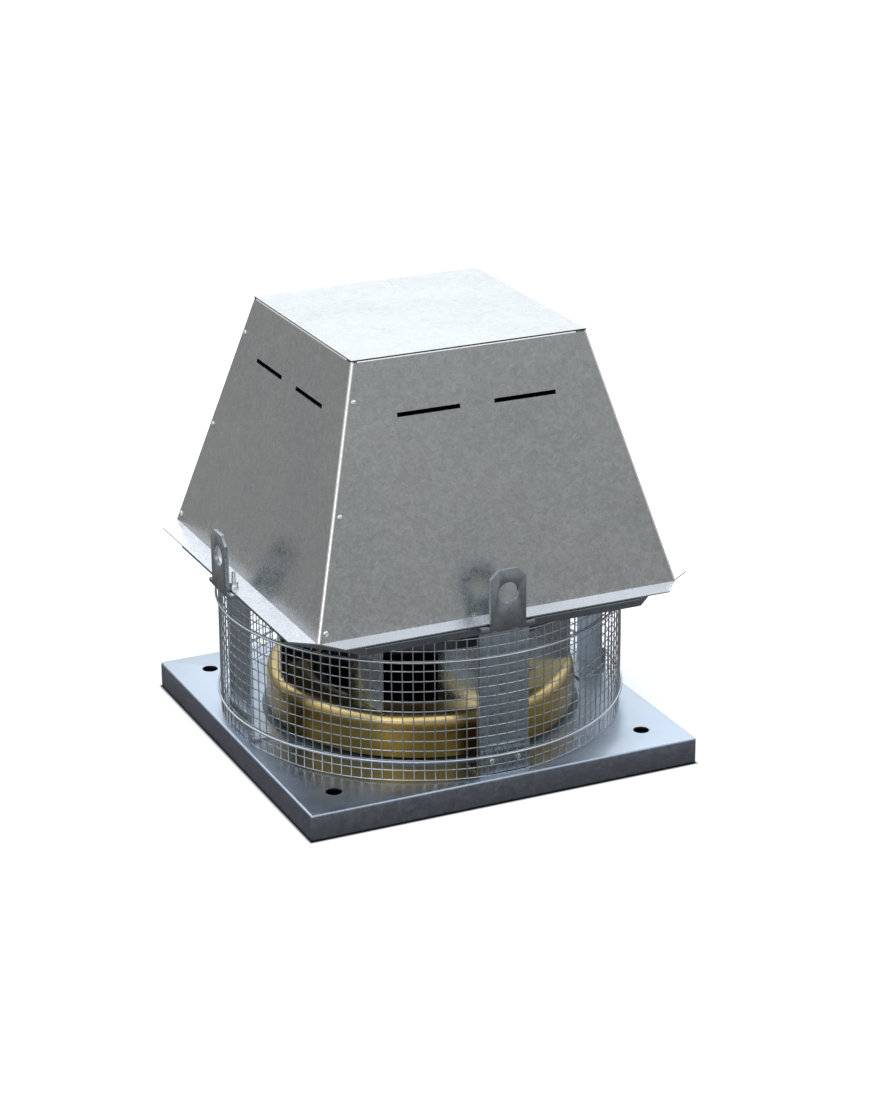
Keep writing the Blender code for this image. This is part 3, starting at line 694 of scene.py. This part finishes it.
LUG_PLATE = 0.005
LUG_HALF = 0.023
LUG_TOP_HALF = 0.012
LUG_CHAMFER = 0.011
LUG_FOOT_HALF = 0.035
EYE_R = 0.013
EYE_Z = 0.2734
LUG_MIDDLE = {}
for side, degrees in SIDES:
    corners = [turn(-degrees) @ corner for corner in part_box("lifting_lug_" + side)]
    LUG_MIDDLE[side] = (corners[0].x + corners[1].x) / 2.0


def make_lugs():
    """Each lug is a bent plate: a foot on the drip flange and an upright leaf with cut corners and an eye."""
    y0, y1 = LUG_LOW.y, LUG_LOW.y + LUG_PLATE
    low, top = LUG_LOW.z, LUG_HIGH.z
    right_half = [(LUG_HALF, low), (LUG_HALF, top - LUG_CHAMFER), (LUG_TOP_HALF, top)]
    outline = [(-LUG_HALF, low)] + right_half + [(-LUG_TOP_HALF, top), (-LUG_HALF, top - LUG_CHAMFER)]
    for side, degrees in SIDES:
        mid = LUG_MIDDLE[side]
        bm = bmesh.new()
        outline_prism(bm, [(mid + x, z) for x, z in outline], y0, y1)
        plate = helper("lug_plate", bm)
        foot = box_helper("lug_foot", (mid - LUG_FOOT_HALF, y0 + 0.0005, low),
                          (mid + LUG_FOOT_HALF, LUG_HIGH.y, low + LUG_PLATE))
        eye = rod_helper("lug_eye", EYE_R, (mid, y0 - 0.02, EYE_Z), (mid, y1 + 0.02, EYE_Z))
        bm = shape(plate, [("UNION", foot), ("DIFFERENCE", eye)], 0.0006)
        name = "lifting_lug_" + side
        edged = piece(name + "_edged", bm, "lug_steel", smooth=30,
                      matrix=turn(degrees))
        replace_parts(edged, name)


def hex_prism(bm, radius, z0, z1, centre):
    """A hexagon head or nut with its corners turned off."""
    edge = 0.0010
    flat = radius * 0.93
    section = [(0.0, z0), (flat, z0), (radius, z0 + edge), (radius, z1 - edge), (flat, z1), (0.0, z1)]
    spindle(bm, section, 6, centre, phase=0.3)


def thread(bm, radius, z0, z1, centre):
    """The threaded end of a stud, with rings for the thread."""
    pitch = 0.00125
    root = radius - 0.0007
    count = int((z1 - z0 - 0.001) / pitch)
    section = [(0.0, z0)]
    for k in range(count):
        section.append((radius, z0 + pitch * k))
        section.append((root, z0 + pitch * (k + 0.5)))
    section += [(root, z1 - 0.0006), (radius - 0.0014, z1), (0.0, z1)]
    spindle(bm, section, 20, centre)


def make_lug_bolts():
    """Two M6 studs through each lug's foot and the drip flange, with nuts above and below."""
    top = COWL_Z0 + 0.0001
    washer = [(0.0033, top), (0.0057, top), (0.0057, top + 0.0010), (0.0033, top + 0.0010)]
    nut = 0.0056
    stud_y, stud_x = -0.2535, 0.0145
    for side, degrees in SIDES:
        bm = bmesh.new()
        for x in (-stud_x, stud_x):
            centre = turn(degrees) @ Matrix.Translation((LUG_MIDDLE[side] + x, stud_y, 0.0))
            ring(bm, washer, 28, centre)
            hex_prism(bm, nut, top + 0.0011, top + 0.0058, centre)
            thread(bm, 0.0030, top + 0.0059, 0.2560, centre)
            hex_prism(bm, nut, LUG_LOW.z - 0.0052, LUG_LOW.z - 0.0001, centre)
        piece("lug_bolts_" + side, bm, "bright_zinc", smooth=25)


def edge_strip(bm, low, high, section):
    """Skins a strip whose section is placed at both ends; section maps an end to its points."""
    stations_ends(bm, [[bm.verts.new(p) for p in section(end)] for end in (low, high)])


def corner_section(z):
    """The quarter round of a cowl corner at height z, just proud of the two panels."""
    half = cowl_half(z) + 0.0003
    steps = 8
    points = []
    for k in range(steps + 1):
        a = math.pi + math.pi / 2 * k / steps
        points.append((-half + CORNER_BEND + CORNER_BEND * math.cos(a),
                       -half + CORNER_BEND + CORNER_BEND * math.sin(a), z))
    points.append((-half + CORNER_BEND, -half + 0.0012, z))
    return points


def fold_section(x):
    """The round of a panel's folded top edge, at x along the panel."""
    half = cowl_half(COWL_Z1)
    middle_y, middle_z = -half + 0.0011, COWL_Z1 - FOLD_R
    angles = (-0.9, -0.45, 0.0, 0.4, 0.8, 1.2, math.pi / 2)
    points = [(x, middle_y - FOLD_R * math.cos(a), middle_z + FOLD_R * math.sin(a)) for a in angles]
    return points + [(x, -half + 0.0030, COWL_Z1 - 2.0 * FOLD_R)]


def gap_section(x):
    """The painted shadow in the gap between the panel's top edge and the lid, where the fold stops short of a
    corner: a dark block.
    """
    half = cowl_half(COWL_Z1)
    front, back = -half - 0.0004, -half + 0.0030
    low, high = COWL_Z1 - 0.0026, COWL_Z1 - 0.0001
    return [(x, front, low), (x, front, high), (x, back, high), (x, back, low)]


def strips(spans, section):
    bm = bmesh.new()
    for low, high in spans:
        edge_strip(bm, low, high, section)
    return bm


def make_cowl_edges():
    """The rounded bend along each corner of the cowl, and each panel's folded top edge, in a pale look that
    is a painted highlight; and black strips in the corner gaps as painted shadow.
    """
    half = cowl_half(COWL_Z1)
    bend = [(COWL_Z0 + 0.0004, COWL_Z1 - 0.0002)]
    fold = [(-half + FOLD_FROM_LEFT, half - FOLD_FROM_RIGHT)]
    gaps = [(-half + 0.0010, -half + FOLD_FROM_LEFT - 0.0001),
            (half - FOLD_FROM_RIGHT + 0.0001, half - 0.0010)]
    for side, degrees in SIDES:
        place = turn(degrees)
        for name, spans, section in (("cowl_corner_bend_", bend, corner_section),
                                     ("cowl_top_fold_", fold, fold_section)):
            # The bends and folds take a pale look as a painted highlight.
            piece(name + side, strips(spans, section), "fold_painted_highlight", smooth=50,
                  matrix=place)
        # Painted shadow: black strips stand for the shade in the gap between panel and lid at each corner.
        piece("cowl_corner_painted_shadow_" + side, strips(gaps, gap_section), "black_plastic",
              matrix=place)


def dome(bm, centre, radius=0.0033, height=0.0016, mandrel=0.0012):
    """A blind-rivet head: flat rim, domed top, small sunk mandrel."""
    section = [(0.0, 0.0), (radius, 0.0), (radius, height * 0.22)]
    for k in range(1, 6):
        a = math.pi / 2 * k / 6
        section.append((mandrel + (radius - mandrel) * math.cos(a), height * (0.22 + 0.78 * math.sin(a))))
    section += [(mandrel, height), (mandrel * 0.85, height * 0.62), (0.0, height * 0.58)]
    spindle(bm, section, 28, centre)


def make_seam_rivets():
    """Three blind rivets up each seam of the cowl."""
    tilt = math.atan(COWL_SLOPE)
    for side, degrees in SIDES:
        bm = bmesh.new()
        for z in (0.494, 0.371, 0.2465):
            x = -cowl_half(z) + 0.0088
            place = Matrix.Translation((x, -cowl_half(z) - 0.0001, z))
            aim = Matrix.Rotation(math.pi / 2 - tilt, 4, "X")
            dome(bm, turn(degrees) @ place @ aim)
        piece("seam_rivets_" + side, bm, "bright_zinc", smooth=50)


def make_foot_rivets():
    """Two blind rivets through each foot angle."""
    for side, degrees in SIDES:
        bm = bmesh.new()
        for x in (-0.017, 0.017):
            place = Matrix.Translation((x, -0.2439, 0.052))
            aim = Matrix.Rotation(math.pi / 2, 4, "X")
            dome(bm, turn(degrees) @ place @ aim, 0.0036, 0.0018, 0.0014)
        piece("foot_rivets_" + side, bm, "bright_zinc", smooth=50)


def make_base():
    """The folded pan, with rounded bends, closed corners and clean round holes."""
    half = BASE_HALF
    sheet = 0.002
    outer = box_helper("pan_outer", (-half, -half, 0.0), (half, half, BASE_TOP))
    inner = box_helper("pan_inner", (-half + sheet, -half + sheet, -0.02),
                       (half - sheet, half - sheet, BASE_TOP - sheet))
    steps = []
    fold = outer.modifiers.new("folds", "BEVEL")
    fold.width = 0.003
    fold.segments = 4
    fold.limit_method = "ANGLE"
    steps.append(("DIFFERENCE", inner))
    steps.append(("DIFFERENCE", rod_helper("inlet", 0.152, (0, 0, 0.0), (0, 0, 0.06), 128)))
    for sx, sy in ((-1, -1), (1, -1), (1, 1), (-1, 1)):
        x, y = sx * ANCHOR_AT, sy * ANCHOR_AT
        steps.append(("DIFFERENCE", rod_helper("hole", 0.010, (x, y, 0.0), (x, y, 0.06), 48)))
    bm = shape(outer, steps, 0.0)
    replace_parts(piece("base_pan", bm, "base_sheet", smooth=40), "base_plate")


# ---------------------------------------------------------------- studio


def make_world():
    """A soft sky: grey near the horizon, brightest two thirds of the way up, softer overhead, with a
    glow behind the object. The camera sees it white."""
    world = bpy.data.worlds.new("studio")
    bpy.context.scene.world = world
    world.use_nodes = True
    g = Graph(world.node_tree)
    out = g.node("ShaderNodeOutputWorld")
    direction = g.node("ShaderNodeTexCoord").outputs["Generated"]
    split = g.node("ShaderNodeSeparateXYZ")
    g.link(direction, split.inputs[0])
    height = split.outputs[2]
    back = g.math("ADD", g.math("MULTIPLY", split.outputs[1], 0.9), g.math("MULTIPLY", split.outputs[0], 0.1))
    lift = g.math("ADD", g.spread(height, 0.06, 0.36, 0.40, 0.80), g.spread(height, 0.38, 0.75, 0.0, 1.20))
    lift = g.math("SUBTRACT", lift, g.spread(height, 0.76, 0.95, 0.0, 1.25))
    glow = g.math("MULTIPLY", g.spread(back, 0.1, 0.8, 0.0, 1.0), g.spread(height, 0.08, 0.33, 0.0, 0.50))
    level = g.math("ADD", lift, glow)
    colour = g.mix(g.spread(height, 0.0, 0.5, 0.0, 1.0), (1.0, 0.985, 0.97), (0.90, 0.96, 1.0))
    lit = g.mix(1.0, colour, g.grey(level), "MULTIPLY")
    shine = g.node("ShaderNodeBackground")
    g.link(lit, shine.inputs["Color"])
    seen = g.node("ShaderNodeBackground")
    seen.inputs["Color"].default_value = (1.0, 1.0, 1.0, 1.0)
    seen.inputs["Strength"].default_value = 1.0
    ray = g.node("ShaderNodeLightPath")
    blend = g.node("ShaderNodeMixShader")
    g.link(ray.outputs["Is Camera Ray"], blend.inputs[0])
    g.link(shine.outputs[0], blend.inputs[1])
    g.link(seen.outputs[0], blend.inputs[2])
    g.link(blend.outputs[0], out.inputs[0])


def make_floor():
    """A plain pale floor, with painted shade under the base, where it is nearly black; metal sees a painted
    reflection instead, a grey glow that is darker close to the object as painted shade.
    """
    mesh = bpy.data.meshes.new("studio_floor")
    bm = bmesh.new()
    bmesh.ops.create_grid(bm, x_segments=1, y_segments=1, size=30.0)
    bm.to_mesh(mesh)
    bm.free()
    floor = bpy.data.objects.new("studio_floor", mesh)
    bpy.context.scene.collection.objects.link(floor)
    material = bpy.data.materials.new("studio_floor")
    material.use_nodes = True
    g = Graph(material.node_tree)
    out = g.node("ShaderNodeOutputMaterial")
    paint = g.node("ShaderNodeBsdfDiffuse")
    place = g.node("ShaderNodeTexCoord").outputs["Object"]
    reach = g.node("ShaderNodeVectorMath", operation="LENGTH")
    g.link(place, reach.inputs[0])
    split = g.node("ShaderNodeSeparateXYZ")
    g.link(place, split.inputs[0])
    side = g.math("MAXIMUM", g.math("ABSOLUTE", split.outputs[0]), g.math("ABSOLUTE", split.outputs[1]))
    # Painted shade: the floor is nearly black under the base.
    open_floor = g.spread(side, 0.255, 0.259, 0.02, 1.0)
    g.link(g.grey(g.math("MULTIPLY", open_floor, 0.88)), paint.inputs["Color"])
    # Painted reflection: metal sees the floor as a grey glow, darker close to the object as painted shade.
    level = g.math("MULTIPLY", g.spread(reach.outputs["Value"], 0.35, 1.6, 0.11, 0.42), open_floor)
    grey = g.node("ShaderNodeEmission")
    g.link(g.grey(level), grey.inputs["Color"])
    ray = g.node("ShaderNodeLightPath")
    blend = g.node("ShaderNodeMixShader")
    g.link(ray.outputs["Is Glossy Ray"], blend.inputs[0])
    g.link(paint.outputs[0], blend.inputs[1])
    g.link(grey.outputs[0], blend.inputs[2])
    g.link(blend.outputs[0], out.inputs[0])
    material.cycles.emission_sampling = "NONE"
    mesh.materials.append(material)


def make_lights():
    """Two large soft lights that metal doesn't mirror, and a small one that it does."""
    for name, size, energy, place, colour, glossy in (
        ("key", 2.4, 70.0, (-1.4, -2.0, 3.0), (1.0, 0.99, 0.97), False),
        ("fill", 2.4, 40.0, (2.6, -1.0, 2.6), (0.96, 0.98, 1.0), False),
        ("shoulder", 0.9, 9.0, (-2.2, -2.2, 1.0), (1.0, 0.98, 0.95), True),
    ):
        data = bpy.data.lights.new(name, "AREA")
        data.size = size
        data.energy = energy
        data.color = colour
        lamp = bpy.data.objects.new(name, data)
        lamp.location = place
        lamp.visible_glossy = glossy
        aim = Vector((0.0, 0.0, 0.25)) - Vector(place)
        lamp.rotation_mode = "QUATERNION"
        lamp.rotation_quaternion = aim.to_track_quat("-Z", "Y")
        bpy.context.scene.collection.objects.link(lamp)


def make_studio():
    make_world()
    make_floor()
    make_lights()
    bpy.context.scene.view_settings.view_transform = "Standard"
    bpy.context.scene.view_settings.look = "None"


def make_camera():
    """The photograph's view: from the left of the front, and from a little above."""
    azimuth, elevation, roll = math.radians(-24.65), math.radians(20.79), math.radians(-0.367)
    distance = 3.661
    aim = Vector((0.0, 0.0, 0.306))
    shift_right, shift_down = 0.0198, 0.0735
    back = Vector((math.sin(azimuth) * math.cos(elevation), -math.cos(azimuth) * math.cos(elevation),
                   math.sin(elevation)))
    right = (-back).cross(Vector((0.0, 0.0, 1.0))).normalized()
    up = right.cross(-back)
    place = aim + back * distance + right * shift_right - up * shift_down
    right_r = right * math.cos(roll) + up * math.sin(roll)
    up_r = up * math.cos(roll) - right * math.sin(roll)
    data = bpy.data.cameras.new("camera")
    data.sensor_width = 36.0
    data.lens = 96.65
    data.clip_start = 0.1
    data.clip_end = 200.0
    camera = bpy.data.objects.new("camera", data)
    turned = Matrix((right_r, up_r, back)).transposed().to_4x4()
    camera.matrix_world = Matrix.Translation(place) @ turned
    bpy.context.scene.collection.objects.link(camera)
    bpy.context.scene.camera = camera


# ---------------------------------------------------------------- all of it

dress_cad_nodes()
make_guard()
make_hoops()
make_inlet_cone()
make_impeller()
make_lugs()
make_lug_bolts()
make_cowl_edges()
make_seam_rivets()
make_foot_rivets()
make_base()
make_studio()
make_camera()
